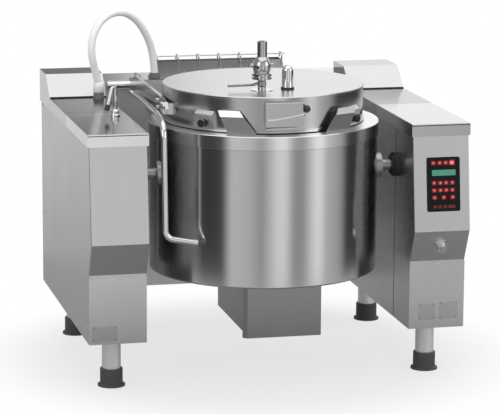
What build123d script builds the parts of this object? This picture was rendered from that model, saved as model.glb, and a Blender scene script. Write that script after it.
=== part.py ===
from build123d import *
import math
import os

os.makedirs("parts", exist_ok=True)

# Tilting steam jacketed kettle, millimetres. X runs to the right, Y to the back, Z up.
# The origin is on the floor, in the middle of the overall width and depth.
# The vessel sets the size: casing, lid, columns and rear beam take their places round it.

# sheet and clearances
sheet = 2.0
bend = 3.0
running = 0.06
rest_gap = 0.3
sight_gap = 1.5

# heights
worktop_z = 900.0
column_bottom_z = 178.0
rim_below_worktop = 7.0

# vessel, steam jacket and casing
vessel_radius = 345.0
vessel_wall = 3.0
vessel_side = 303.0
vessel_dish = 95.0
steam_gap = 30.0
steam_top_drop = 173.0
insulation_gap = 3.0
insulation_thickness = 11.0
insulation_stop = 40.0
casing_height = 519.0
casing_edge = 6.0
rim_plate = 3.0
collar_thickness = 3.5
collar_height = 46.0

# heating box under the kettle
heating_box_height = 198.0
heating_box_width = 272.0
heating_box_shift = 9.0
heating_box_front = 266.5
heating_box_rear = 193.5
heating_box_fold = 13.0
heating_cover_depth = 20.0
heating_cover_lap = 11.0
element_count = 3
element_pitch = 60.0
element_span = 68.0
element_rod = 7.0
element_bend = 12.0

# tilting axis and drive
trunnion_ahead = 82.0
trunnion_drop = 164.0
trunnion_radius = 20.0
trunnion_flange_radius = 46.0
trunnion_flange = 9.0
left_shaft_reach = 100.0
right_shaft_reach = 112.0
seal_radius = 42.0
seal_body = 17.0
seal_lip = 7.0
bearing_plate = 12.0
bearing_plate_half = 58.0
bearing_width = 32.0
bearing_wall = 22.0
gearbox_width = 62.0
gearbox_half = 75.0
gearbox_foot = 8.0
motor_radius = 34.0
motor_rise = 30.0
motor_length = 156.0
motor_fins = 6
fin_pitch = 20.0

# columns
column_gap = 56.5
column_width = 208.0
kettle_reach = 124.5
cover_overhang = 5.0
front_overhang = 10.0
cover_skirt = 42.5
front_cover_depth = 450.0
knee_reach = 44.0
knee_drop = 369.0
toe_setback = 54.0
toe_drop = 482.0
service_gap = 7.0
rear_box_depth = 235.0
rear_box_slope = 90.5
rear_box_rise = 75.0
post_size = 40.0
post_spread = 140.0
frame_gap = 4.0
hatch_margin = 30.0

# rear beam, flue outlet and its wire guard
hinge_behind = 157.5
fascia_clearance = 12.0
beam_depth = 179.5
beam_tube = 60.0
beam_wall = 4.0
deck_rise = 50.0
flue_width = 480.0
flue_bevel = 8.0
flue_depth = 66.0
flue_rise = 46.0
hoop_count = 7
hoop_wire = 2.5
hoop_rise = 24.0
hoop_depth = 37.0
hoop_drop = 26.0
hoop_bend = 7.0

# feet
front_leg_inset = 151.0
rear_leg_inset = 137.5
leg_radius = 32.5
leg_wall = 3.0
leg_nut = 12.0
leg_nut_z = 105.0
boot_wall = 6.5
boot_height = 63.0
boot_floor = 12.0
boot_grooves = 5
foot_flange_radius = 47.5
foot_flange = 8.0
foot_travel = 25.0
spindle_radius = 10.0

# lid
lid_setback = 12.0
lid_lap = 3.0
lid_height = 125.0
lid_cap = 9.0
lid_cap_lip = 1.5
lid_groove = 1.2
lid_ledge = 16.0
lid_flange_height = 9.0
lid_flange_reach = 4.0
gasket_height = 3.0
gasket_width = 12.0
liner_dish = 14.0

# lid arm, hinge and handle
hinge_rise = 44.0
hinge_pin_radius = 11.0
hinge_tube_radius = 18.0
hinge_end_gap = 7.0
arm_thickness = 12.0
arm_height = 74.0
arm_drop = 27.0
arm_nose = 100.0
arm_eye_wall = 10.0
arm_bolt_radius = 7.5
arm_bolt_head = 6.0
bracket_gap = 4.0
bracket_weld = 65.0
bracket_ear = 44.0
handle_radius = 10.5
handle_side = 7.5
handle_ahead = 294.5
handle_length = 385.0
handle_grip = 112.0

# pouring guides on the rim
guide_angle = 26.0
guide_centre = 16.0
guide_inner = 118.0
guide_length = 100.0
guide_height = 77.0
guide_fold = 20.0
guide_lean = 8.5
guide_lean_in = 62.0
guide_lean_out = 36.0
guide_sheet = 3.0

# safety valve, vent lever and breather post
valve_x = -46.0
valve_behind_front = 168.5
hub_height = 38.0
hub_radius = 14.0
hub_waist = 11.0
valve_flange_radius = 34.0
valve_flange = 8.0
valve_belly = 31.5
valve_bore = 12.5
valve_pipe_radius = 17.0
valve_pipe = 53.0
valve_height = 129.0
vent_rod = 4.5
vent_reach = 120.0
post_x = 46.0
post_behind_front = 176.5
post_radius = 19.5
post_height = 82.0
post_ring_height = 6.0

# front latch
latch_left = -78.0
latch_right = 50.0
latch_reach = 26.0
latch_down = 16.0
latch_height = 76.0
latch_sheet = 3.0
latch_slope = 22.0
latch_shaft_down = 24.0
latch_shaft_radius = 5.0
latch_ball = 13.5
latch_nose = 7.0
latch_hook_drop = 14.0

# clamps on the lid skirt
clamp_angle = 223.0
clamp_foot = 86.0
clamp_head = 70.0
clamp_height = 58.0
clamp_depth = 12.0
clamp_slope = 12.0
clamp_screw_up = 17.0
clamp_screw = 4.0
clamp_nut = 14.0

# water valve and hose
tap_from_inner = 47.0
tap_behind_front = 376.5
tap_height = 92.0
tap_stem = 7.5
tap_rod = 6.0
tap_tip_radius = 9.0
tap_tip_length = 20.0
hose_radius = 13.5
left_gland_from_inner = 34.0
left_gland_behind_front = 779.5
right_gland_x = -257.0
right_gland_from_back = 115.0
left_gland_height = 45.0
right_gland_height = 16.0
gland_flange = 7.0

# controls
panel_offset = 6.0
panel_drop = 208.0
panel_width = 118.0
panel_height = 187.0
panel_thickness = 3.0
display_width = 84.0
display_height = 20.0
display_up = 40.0
knob_offset = 3.0
knob_radius = 17.0
knob_height = 18.0
knob_spindle = 4.0
dial_radius = 25.0
dial_thickness = 3.0
control_box_depth = 65.0
control_box_behind = 30.0

# places that follow from the sizes above
rim_z = worktop_z - rim_below_worktop
kettle_bottom_z = rim_z - casing_height
knuckle_z = rim_z - vessel_side
steam_top_z = rim_z - steam_top_drop
steam_radius = vessel_radius + vessel_wall + steam_gap
wool_radius = steam_radius + vessel_wall + insulation_gap
jacket_radius = wool_radius + insulation_thickness + sheet
collar_radius = jacket_radius + collar_thickness

inner_x = collar_radius + column_gap
side_x = inner_x + column_width
shell_out_x = side_x - cover_overhang
shell_in_x = inner_x + cover_overhang
column_x = (side_x + inner_x) / 2

overall_depth = 2 * collar_radius + hinge_behind + hinge_tube_radius + fascia_clearance + beam_depth
rear_y = overall_depth / 2
kettle_y = -rear_y + collar_radius
lip_y = -rear_y + kettle_reach
hinge_y = kettle_y + collar_radius + hinge_behind
fascia_y = hinge_y + hinge_tube_radius + fascia_clearance
trunnion_y = kettle_y - trunnion_ahead
panel_top_y = lip_y + front_overhang
knee_y = panel_top_y - knee_reach
toe_y = knee_y + toe_setback
shell_rear_y = rear_y - cover_overhang
seam_y = lip_y + front_cover_depth
box_y = rear_y - rear_box_depth

cover_bottom_z = worktop_z - cover_skirt
shell_top_z = worktop_z - sheet
knee_z = worktop_z - knee_drop
toe_z = worktop_z - toe_drop
service_top_z = toe_z - service_gap
deck_z = worktop_z + deck_rise
trunnion_z = rim_z - trunnion_drop
hinge_z = rim_z + hinge_rise

lid_y = kettle_y + lid_setback
lid_radius = vessel_radius + lid_lap
lid_front_y = lid_y - lid_radius
lid_top_z = rim_z + lid_height
gasket_z = rim_z + rest_gap
flange_z = gasket_z + gasket_height
skirt_z = flange_z + lid_flange_height
arm_in_x = -(lid_radius + lid_flange_reach)
arm_out_x = arm_in_x - arm_thickness
bracket_out_x = arm_in_x + bracket_gap
bracket_in_x = bracket_out_x + arm_thickness
valve_y = lid_front_y + valve_behind_front
post_y = lid_front_y + post_behind_front


def block(x, y, z):
    """Box between two corners, each given as a pair of limits."""
    size = [abs(pair[1] - pair[0]) for pair in (x, y, z)]
    low = [min(pair) for pair in (x, y, z)]
    return Pos(*low) * Box(*size, align=(Align.MIN, Align.MIN, Align.MIN))


def side_prism(points, x0, x1):
    """Outline in the YZ plane, pushed out between two places along X."""
    return extrude(Plane.YZ.offset(min(x0, x1)) * make_face(Polyline(*points, close=True)), abs(x1 - x0))


def front_prism(points, y0, y1):
    """Outline in the XZ plane, pushed out between two places along Y."""
    return extrude(Plane.XZ.offset(-max(y0, y1)) * make_face(Polyline(*points, close=True)), abs(y1 - y0))


def inset(points, x0, x1, wall):
    """Cavity inside a side prism, one wall in from every face."""
    face = offset(make_face(Polyline(*points, close=True)), -wall, kind=Kind.INTERSECTION)
    low, high = min(x0, x1) + wall, max(x0, x1) - wall
    return extrude(Plane.YZ.offset(low) * face, high - low)


def rod(start, end, radius):
    """Round bar between two points."""
    a, b = Vector(*start), Vector(*end)
    return extrude(Plane(origin=a, z_dir=b - a) * Circle(radius), (b - a).length)


def cross_rod(x0, x1, y, z, radius):
    return rod((x0, y, z), (x1, y, z), radius)


def turned(points, x=0.0, y=0.0):
    """Body of revolution about a vertical axis, from radius and height pairs."""
    return Pos(x, y, 0) * revolve(Plane.XZ * make_face(Polyline(*points, close=True)), Axis.Z)


def ring(inner, outer, low, high, x=0.0, y=0.0):
    return turned([(inner, low), (outer, low), (outer, high), (inner, high)], x, y)


def disc(radius, low, high, x=0.0, y=0.0):
    return Pos(x, y, low) * Cylinder(radius, high - low, align=(Align.CENTER, Align.CENTER, Align.MIN))


def bent_bar(points, radii, radius):
    """Round bar along straight runs joined by tangent arcs."""
    path = FilletPolyline(*points, radius=radii)
    return sweep(Plane(origin=path @ 0, z_dir=path % 0) * Circle(radius), path=path)


def route_radii(points, share=0.45):
    """Largest tangent arc at each corner of a route, as a share of its shorter run."""
    radii = []
    for before, corner, after in zip(points, points[1:], points[2:]):
        a, b = Vector(*corner) - Vector(*before), Vector(*after) - Vector(*corner)
        turn = math.radians(a.get_angle(b))
        radii.append(share * min(a.length, b.length) / math.tan(turn / 2))
    return radii


def fused(shapes):
    whole = shapes[0]
    for shape in shapes[1:]:
        whole += shape
    return whole


def flip(shape, x=0.0):
    return mirror(shape, about=Plane.YZ.offset(x))


def save(name, *solids):
    shapes = [solid for shape in solids for solid in shape.solids()]
    export_step(shapes[0] if len(shapes) == 1 else Compound(shapes), f"parts/{name}.step")


def save_sides(name, left):
    save("left_" + name, left)
    save("right_" + name, flip(left))


def save_pair(name, left):
    save(name, left, flip(left))


# Columns: folded sheet shells with separate covers, rear boxes and service panels.

def column_outline():
    return [
        (panel_top_y, shell_top_z),
        (knee_y, knee_z),
        (toe_y, toe_z),
        (toe_y, column_bottom_z),
        (shell_rear_y, column_bottom_z),
        (shell_rear_y, shell_top_z),
    ]


def column_shell():
    """Shell with rounded bends down its front, a hatch under the covers and a hole for the shaft."""
    outline = column_outline()
    body = side_prism(outline, -shell_out_x, -shell_in_x)
    front = [edge for edge in body.edges() if edge.center().Y < toe_y + 1 and abs(edge.tangent_at(0).X) < 0.5]
    body = fillet(front, bend)
    shell = body - inset(outline, -shell_out_x, -shell_in_x, sheet)
    hatch = block(
        (-shell_out_x + hatch_margin, -shell_in_x - hatch_margin),
        (panel_top_y + hatch_margin, shell_rear_y - hatch_margin),
        (shell_top_z - 2 * sheet, worktop_z),
    )
    window = cross_rod(-shell_in_x - 2 * sheet, -shell_in_x + sheet, trunnion_y, trunnion_z, trunnion_radius + 4 * sheet)
    return shell - hatch - window


def cover(y0, y1, closed_front):
    """Top sheet with a skirt that laps over the shell."""
    front = y0 + sheet if closed_front else y0
    outside = block((-side_x, -inner_x), (y0, y1), (cover_bottom_z, worktop_z))
    rounded = [edge for edge in outside.edges() if edge.center().Z > worktop_z - 1 and abs(edge.tangent_at(0).Y) > 0.5]
    if closed_front:
        rounded += [edge for edge in outside.edges().filter_by(Axis.X) if edge.center().Z > worktop_z - 1 and edge.center().Y < y0 + 1]
    inside = block((-side_x + sheet, -inner_x - sheet), (front, y1), (cover_bottom_z, shell_top_z))
    return fillet(rounded, sheet) - inside


def rear_box():
    top_z = worktop_z + rear_box_rise
    outline = [
        (box_y, shell_top_z),
        (box_y, worktop_z),
        (box_y + rear_box_slope, top_z),
        (rear_y, top_z),
        (rear_y, shell_top_z),
    ]
    upper = side_prism(outline, -side_x, -inner_x) - inset(outline, -side_x, -inner_x, sheet)
    skirt = block((-side_x, -inner_x), (box_y, rear_y), (cover_bottom_z, shell_top_z))
    skirt -= block((-side_x + sheet, -inner_x - sheet), (box_y, rear_y - sheet), (cover_bottom_z, shell_top_z))
    return upper + skirt


def service_panel():
    return block((-shell_out_x, -shell_in_x), (toe_y - sheet, toe_y), (column_bottom_z + sheet, service_top_z))


def base_frame():
    """Welded square tube frame that carries the trunnion bearing and the legs."""
    low = column_bottom_z + sheet
    x0, x1 = -shell_out_x + frame_gap, -shell_in_x - frame_gap
    y0, y1 = toe_y + frame_gap, shell_rear_y - frame_gap
    inner = (x1 - post_size, x1)
    bars = [block((x, x + post_size), (y0, y1), (low, low + post_size)) for x in (x0, x1 - post_size)]
    bars += [block((x0, x1), (y, y + post_size), (low, low + post_size)) for y in (y0, y1 - post_size)]
    for side in (-1, 1):
        middle = trunnion_y + side * post_spread / 2
        post = (middle - post_size / 2, middle + post_size / 2)
        bars.append(block(inner, post, (low, trunnion_z + 2 * post_size)))
    between = (trunnion_y - post_spread / 2, trunnion_y + post_spread / 2)
    bars.append(block(inner, between, (trunnion_z - 2.5 * post_size, trunnion_z - 1.5 * post_size)))
    return fused(bars)


def bearing():
    """Flange bearing between the posts; the trunnion runs in its bore."""
    face_x = -shell_in_x - frame_gap - post_size
    half = post_spread / 2 + post_size / 2
    plate = block(
        (face_x - bearing_plate, face_x),
        (trunnion_y - half, trunnion_y + half),
        (trunnion_z - bearing_plate_half, trunnion_z + bearing_plate_half),
    )
    end = face_x - bearing_plate - bearing_width
    barrel = cross_rod(end, face_x, trunnion_y, trunnion_z, trunnion_radius + bearing_wall)
    return plate + barrel - cross_rod(end - 1, face_x + 1, trunnion_y, trunnion_z, trunnion_radius + running)


def shaft_seal():
    """Rubber collar on the inner wall, clear of the turning shaft."""
    start = -shell_in_x
    end = start + seal_body
    lip = end + seal_lip
    body = cross_rod(start, end, trunnion_y, trunnion_z, seal_radius)
    body += cross_rod(end, lip, trunnion_y, trunnion_z, seal_radius - seal_lip)
    return body - cross_rod(start, lip, trunnion_y, trunnion_z, trunnion_radius + rest_gap)


save_sides("column_shell", column_shell())
save_pair("front_covers", cover(lip_y, seam_y - sight_gap / 2, True))
save_pair("rear_covers", cover(seam_y + sight_gap / 2, box_y - sight_gap, False))
save_pair("rear_boxes", rear_box())
save_pair("service_panels", service_panel())
save_pair("base_frames", base_frame())
save_pair("trunnion_bearings", bearing())
save_pair("shaft_seals", shaft_seal())


# Feet: a bright tube under each corner, in a boot that screws down to level the kettle.

def leg(x, y):
    low = boot_floor + rest_gap
    tube = ring(leg_radius - leg_wall, leg_radius, low, column_bottom_z, x, y)
    nut = ring(spindle_radius + running, leg_radius - leg_wall, leg_nut_z, leg_nut_z + leg_nut, x, y)
    return tube + nut


def foot(x, y):
    """Ribbed boot with a wide flange, and the screwed spindle that stands in it."""
    bore = leg_radius + running
    wall = bore + boot_wall
    spindle_top = leg_nut_z + leg_nut + foot_travel
    profile = [
        (0, 0),
        (foot_flange_radius, 0),
        (foot_flange_radius, foot_flange - 2),
        (foot_flange_radius - 3, foot_flange),
        (wall, foot_flange + 3),
        (wall, boot_height - 2),
        (wall - 2, boot_height),
        (bore, boot_height),
        (bore, boot_floor),
        (spindle_radius, boot_floor),
        (spindle_radius, spindle_top),
        (0, spindle_top),
    ]
    body = turned(profile, x, y)
    pitch = (boot_height - foot_flange - 3) / (boot_grooves + 1)
    for i in range(boot_grooves):
        z = foot_flange + 3 + pitch * (i + 1)
        body -= ring(wall - 1.2, wall + 1, z - 1.2, z + 1.2, x, y)
    return body


leg_places = {
    "front_left": (-column_x, lip_y + front_leg_inset),
    "front_right": (column_x, lip_y + front_leg_inset),
    "rear_left": (-column_x, rear_y - rear_leg_inset),
    "rear_right": (column_x, rear_y - rear_leg_inset),
}
for place, (x, y) in leg_places.items():
    save(place + "_foot", foot(x, y))
save("leg_tubes", *[leg(x, y) for x, y in leg_places.values()])


# Rear beam between the columns, with the flue outlet and its wire guard.

def beam_sheets():
    """Front plate, back plate and deck of the beam."""
    x = (-inner_x, inner_x)
    upright = (column_bottom_z, deck_z - sheet)
    front = block(x, (fascia_y, fascia_y + sheet), upright)
    back = block(x, (rear_y - sheet, rear_y), upright)
    return front, back, block(x, (fascia_y, rear_y), (deck_z - sheet, deck_z))


def beam_tubes():
    """Rectangular tubes that join the columns, at the bottom and under the deck."""
    x = (-inner_x, inner_x)
    y0, y1 = fascia_y + sheet, rear_y - sheet
    tubes = []
    for z in (column_bottom_z, deck_z - sheet - beam_tube):
        core = block(x, (y0 + beam_wall, y1 - beam_wall), (z + beam_wall, z + beam_tube - beam_wall))
        tubes.append(block(x, (y0, y1), (z, z + beam_tube)) - core)
    return tubes


def flue():
    """Open topped outlet box on the deck, with one bevelled end."""
    half = flue_width / 2
    y0, y1 = rear_y - flue_depth, rear_y - 1
    top = deck_z + flue_rise
    foot_x = half + flue_bevel
    outline = [(-half, deck_z), (foot_x, deck_z), (half, top), (-half, top)]
    cavity = [(-half + sheet, deck_z), (foot_x - sheet, deck_z), (half - sheet, top), (-half + sheet, top)]
    return front_prism(outline, y0, y1) - front_prism(cavity, y0 + sheet, y1 - sheet)


def flue_guard():
    """Wire hoops across the outlet, welded to its front wall and tied by one long wire."""
    top = deck_z + flue_rise
    y0 = rear_y - flue_depth - hoop_wire
    y1 = y0 + hoop_depth
    high = top + hoop_rise
    pitch = (flue_width - 2 * hoop_wire) / (hoop_count - 1)
    wires = []
    for i in range(hoop_count):
        x = (i - (hoop_count - 1) / 2) * pitch
        route = [(x, y0, top - hoop_drop), (x, y0, high), (x, y1, high), (x, y1, top + 2 * hoop_wire)]
        wires.append(bent_bar(route, hoop_bend, hoop_wire))
    span = flue_width / 2 + 2 * hoop_bend
    return fused([cross_rod(-span, span, (y0 + y1) / 2, high - 1.5 * hoop_wire, hoop_wire), *wires])


front_plate, back_plate, deck = beam_sheets()
save("rear_fascia", front_plate)
save("rear_back_panel", back_plate)
save("rear_deck", deck)
save("rear_crossmembers", *beam_tubes())
save("flue_box", flue())
save("flue_guard", flue_guard())


# Kettle: dished vessel, steam jacket, insulation and outer casing, hung on two trunnions.

def dish(radius, top_z, depth):
    """Half outline of a dished bottom, from its lowest point to the straight wall."""
    return ThreePointArc((0, top_z - depth), (radius * 0.62, top_z - depth * 0.70), (radius, top_z))


def dished_shell(radius, wall, straight_z, depth, top_z):
    """Cylindrical pan with a dished bottom, wall outward of the radius."""
    outer = [dish(radius + wall, straight_z, depth + wall)]
    outer += [Polyline((radius + wall, straight_z), (radius + wall, top_z), (0, top_z), (0, straight_z - depth - wall))]
    inner = [dish(radius, straight_z, depth)]
    inner += [Polyline((radius, straight_z), (radius, top_z), (0, top_z), (0, straight_z - depth))]
    solid = revolve(Plane.XZ * make_face(outer), Axis.Z) - revolve(Plane.XZ * make_face(inner), Axis.Z)
    return Pos(0, kettle_y, 0) * solid


def vessel():
    """The pan that holds the food, with the flat rim plate that closes the jacket."""
    pan = dished_shell(vessel_radius, vessel_wall, knuckle_z, vessel_dish, rim_z)
    return pan + ring(vessel_radius, jacket_radius, rim_z - rim_plate, rim_z, 0, kettle_y)


def steam_jacket():
    """Second pan round the vessel, closed at the top by a ring; steam fills the gap."""
    pan = dished_shell(steam_radius, vessel_wall, knuckle_z, vessel_dish + vessel_wall + steam_gap, steam_top_z)
    inner, outer = vessel_radius + vessel_wall, steam_radius + vessel_wall
    return pan + ring(inner, outer, steam_top_z, steam_top_z + vessel_wall, 0, kettle_y)


def outer_casing():
    """Round wall and bottom plate in one, with a rolled lower edge."""
    low, high = kettle_bottom_z, rim_z - rim_plate
    outer = fillet(disc(jacket_radius, low, high, 0, kettle_y).edges().group_by(Axis.Z)[0], casing_edge)
    core = disc(jacket_radius - sheet, low + sheet, high, 0, kettle_y)
    return outer - fillet(core.edges().group_by(Axis.Z)[0], casing_edge - sheet)


def insulation():
    low, high = kettle_bottom_z + insulation_stop, rim_z - rim_plate - insulation_stop
    return ring(wool_radius, jacket_radius - sheet, low, high, 0, kettle_y)


def rim_collar():
    """Polished band round the top of the casing, flush with the rim plate."""
    low = rim_z - collar_height
    profile = [
        (jacket_radius, low),
        (collar_radius - 1, low),
        (collar_radius, low + 1),
        (collar_radius, rim_z - 2),
        (collar_radius - 2, rim_z),
        (jacket_radius, rim_z),
    ]
    return turned(profile, 0, kettle_y)


loop_z = knuckle_z - vessel_dish - vessel_wall - steam_gap / 2
element_x = [(i - (element_count - 1) / 2) * element_pitch for i in range(element_count)]
element_y = (kettle_y - element_span / 2, kettle_y + element_span / 2)


def heating_elements():
    """Looped rods in the steam space, with their legs coming down through the bottom."""
    low = kettle_bottom_z - element_pitch
    y0, y1 = element_y
    loops = []
    for x in element_x:
        route = [(x, y0, low), (x, y0, loop_z), (x, y1, loop_z), (x, y1, low)]
        loops.append(bent_bar(route, element_bend, element_rod / 2))
    return loops


def element_holes():
    low = kettle_bottom_z - 5 * sheet
    return fused([rod((x, y, low), (x, y, loop_z), element_rod / 2) for x in element_x for y in element_y])


def heating_box():
    """Closed sheet box under the kettle; the cover at its front is larger and clipped at one edge."""
    left, right = heating_box_shift - heating_box_width / 2, heating_box_shift + heating_box_width / 2
    y0, y1 = kettle_y - heating_box_front, kettle_y + heating_box_rear
    back, fold, lap = y0 + heating_cover_depth, heating_box_fold, heating_cover_lap
    low = kettle_bottom_z - heating_box_height
    corners = [(left + fold, y0), (right, y0), (right, back), (left, back), (left, y0 + fold)]
    plan = make_face(Polyline(*corners, close=True))
    core = offset(plan, -sheet, kind=Kind.INTERSECTION)
    body = block((left + lap, right - lap), (back - sheet, y1), (low + lap, kettle_bottom_z))
    hollow = block(
        (left + lap + sheet, right - lap - sheet),
        (y0 + 2 * sheet, y1 - sheet),
        (low + lap + sheet, kettle_bottom_z - sheet),
    )
    cover_hollow = extrude(Pos(0, 0, low + sheet) * core, heating_box_height - 2 * sheet)
    return extrude(Pos(0, 0, low) * plan, heating_box_height) + body - cover_hollow - hollow


def trunnion(reach):
    """Shaft with a welded flange that seats on the round casing."""
    seat = -math.sqrt(jacket_radius**2 - trunnion_ahead**2)
    inside = seat + 4 * trunnion_flange
    solid = cross_rod(inside, -shell_in_x - reach, trunnion_y, trunnion_z, trunnion_radius)
    solid += cross_rod(inside, seat - trunnion_flange, trunnion_y, trunnion_z, trunnion_flange_radius)
    return solid - disc(jacket_radius, kettle_bottom_z, rim_z, 0, kettle_y)


holes = element_holes()
save("inner_vessel", vessel())
save("steam_jacket", steam_jacket() - holes)
save("outer_casing", outer_casing() - holes)
save("insulation", insulation())
save("rim_collar", rim_collar())
save("heating_box", heating_box() - holes)
save("heating_elements", *heating_elements())
save("trunnions", trunnion(left_shaft_reach), flip(trunnion(right_shaft_reach)))


# Tilting drive in the right column: a closed worm gearbox and its motor.

drive_x = shell_in_x + frame_gap + post_size + bearing_plate + bearing_width + frame_gap


def gearbox():
    """Case round the end of the shaft, on a foot that reaches back to the bearing plate."""
    side_y = (trunnion_y - gearbox_half, trunnion_y + gearbox_half)
    case = block((drive_x, drive_x + gearbox_width), side_y, (trunnion_z - gearbox_half, trunnion_z + gearbox_half))
    bore = cross_rod(drive_x - 1, drive_x + gearbox_width + 1, trunnion_y, trunnion_z, trunnion_radius + running)
    foot_x = (drive_x - frame_gap - bearing_width, drive_x + gearbox_width)
    foot_z = (trunnion_z - gearbox_half - gearbox_foot, trunnion_z - gearbox_half)
    return case + block(foot_x, side_y, foot_z) - bore


def drive_motor():
    """Finned motor behind the gearbox, on a round flange."""
    x, z = drive_x + gearbox_width / 2, trunnion_z + motor_rise
    start = trunnion_y + gearbox_half
    flange_end = start + motor_radius / 2
    motor = rod((x, start, z), (x, flange_end, z), motor_radius + 6)
    motor += rod((x, flange_end, z), (x, flange_end + motor_length, z), motor_radius)
    for i in range(motor_fins):
        y = flange_end + fin_pitch * (i + 0.6)
        motor += rod((x, y, z), (x, y + fin_pitch / 4, z), motor_radius + 4)
    return motor


save("tilt_drive", gearbox(), drive_motor())


# Pouring guides: two folded plates that stand on the rim, one each side of the spout.

def spout_guide():
    """Left guide: its face stands on the rim, and a band at its top leans back."""
    a = math.radians(guide_angle)
    along, out = (math.cos(a), -math.sin(a), 0), (-math.sin(a), -math.cos(a), 0)
    corner = (guide_centre - guide_inner, lid_front_y - 2.5, rim_z)
    face = Plane(origin=corner, x_dir=along, z_dir=out)
    knee = guide_height - guide_fold
    outline = Polyline(
        (0, 0), (-guide_length, 0), (-guide_length - guide_lean_out, guide_height), (-guide_lean_in, guide_height), close=True
    )
    blank = extrude(face.offset(-3 * guide_lean) * make_face(outline), 6 * guide_lean)
    section = [
        (0, 0),
        (guide_sheet, 0),
        (guide_sheet, knee),
        (guide_sheet - guide_lean, guide_height),
        (-guide_lean, guide_height),
        (0, knee),
    ]
    across = Plane(origin=face.from_local_coords((guide_length, 0, 0)), x_dir=out, z_dir=-Vector(*along))
    folded = extrude(across * make_face(Polyline(*section, close=True)), 3 * guide_length)
    clear_of_lid = disc(lid_radius + lid_flange_reach + rest_gap, rim_z - 1, lid_top_z, 0, lid_y)
    return blank & folded - clear_of_lid


left_guide = spout_guide()
save("spout_guides", left_guide, flip(left_guide, guide_centre))


# Lid: double skinned, on an arm that swings about a pin behind the left of the rim.

def lid_shell():
    """Skirt, rolled flange and a thicker cap that overhangs a fine groove."""
    inner = lid_radius - sheet
    groove_z = lid_top_z - lid_cap
    ledge = lid_radius - lid_ledge
    profile = [
        (ledge, flange_z),
        (lid_radius + lid_flange_reach, flange_z),
        (lid_radius + lid_flange_reach, skirt_z),
        (lid_radius, skirt_z),
        (lid_radius, groove_z),
        (lid_radius - lid_groove, groove_z),
        (lid_radius - lid_groove, groove_z + lid_cap_lip),
        (lid_radius + lid_cap_lip, groove_z + lid_cap_lip),
        (lid_radius + lid_cap_lip, lid_top_z - 2 * lid_cap_lip),
        (lid_radius - lid_cap_lip, lid_top_z),
        (0, lid_top_z),
        (0, groove_z),
        (inner, groove_z),
        (inner, skirt_z),
        (ledge, skirt_z),
    ]
    return turned(profile, 0, lid_y)


def lid_liner():
    """Inner skin with a shallow upward dish, inside the flange ring."""
    edge = lid_radius - lid_ledge
    profile = [
        (0, skirt_z + liner_dish + sheet),
        (edge - 2 * lid_ledge, skirt_z + sheet),
        (edge, skirt_z),
        (edge, skirt_z - sheet),
        (0, skirt_z + liner_dish),
    ]
    return turned(profile, 0, lid_y)


def arm_plate():
    """Deep flat bar from the hinge eye to the front of the lid, clipped at its nose."""
    low = hinge_z - arm_drop
    high = low + arm_height
    nose_y = lid_y - arm_nose
    eye = hinge_tube_radius + arm_eye_wall
    outline = [
        (hinge_y - 80, high),
        (nose_y + 3 * arm_drop + 22, high - 4),
        (nose_y + 22, high - 14),
        (nose_y, high - 34),
        (nose_y + 16, low + 18),
        (nose_y + 110, low + 6),
        (hinge_y - arm_thickness, low),
        (hinge_y, hinge_z),
        (hinge_y - hinge_tube_radius, hinge_z + eye - 6),
    ]
    return side_prism(outline, arm_out_x, arm_in_x) + cross_rod(arm_out_x, arm_in_x, hinge_y, hinge_z, eye)


def lid_arm():
    """Arm plate with its eye, and the pad that is bolted and welded to the lid's skirt."""
    plate = arm_plate() - cross_rod(arm_out_x - 1, arm_in_x + 1, hinge_y, hinge_z, hinge_tube_radius)
    pad = block((arm_in_x, arm_in_x + 5 * arm_thickness), (lid_y - 92, lid_y + 60), (hinge_z - 8, hinge_z + 30))
    return plate + pad - disc(lid_radius, rim_z, lid_top_z, 0, lid_y)


def arm_bolts():
    heads = []
    for y in (lid_y - 78, lid_y - 46, lid_y + 40):
        for z in (hinge_z - 1, hinge_z + 22):
            heads.append(cross_rod(arm_out_x - arm_bolt_head, arm_out_x, y, z, arm_bolt_radius))
    return heads


def hinge_tube():
    """Outer tube of the hinge, closed at its end beside the column."""
    end = -inner_x + hinge_end_gap
    tube = cross_rod(end, arm_in_x, hinge_y, hinge_z, hinge_tube_radius)
    return tube - cross_rod(end + 5, arm_in_x + 1, hinge_y, hinge_z, hinge_pin_radius + running)


def hinge_bracket():
    """Plate welded to the casing that carries the hinge pin behind the rim."""
    weld_y = kettle_y + math.sqrt(collar_radius**2 - bracket_in_x**2) - bracket_weld
    low = rim_z - collar_height
    ear_z = hinge_z + bracket_ear
    outline = [
        (weld_y, low + 4),
        (weld_y, rim_z - sheet),
        (hinge_y - 2.2 * bracket_ear, hinge_z + 30),
        (hinge_y - bracket_ear, ear_z),
        (hinge_y + 8, ear_z),
        (hinge_y + 20, hinge_z - 6),
        (hinge_y - 20, hinge_z - 24),
    ]
    plate = side_prism(outline, bracket_out_x, bracket_in_x) - disc(collar_radius, low - 60, rim_z, 0, kettle_y)
    return plate - cross_rod(bracket_out_x - 1, bracket_in_x + 1, hinge_y, hinge_z, hinge_pin_radius)


def hinge_pin():
    shaft = cross_rod(-inner_x + 2 * hinge_end_gap, bracket_in_x, hinge_y, hinge_z, hinge_pin_radius)
    return shaft + cross_rod(bracket_in_x, bracket_in_x + 6, hinge_y, hinge_z, hinge_pin_radius + 5)


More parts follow.
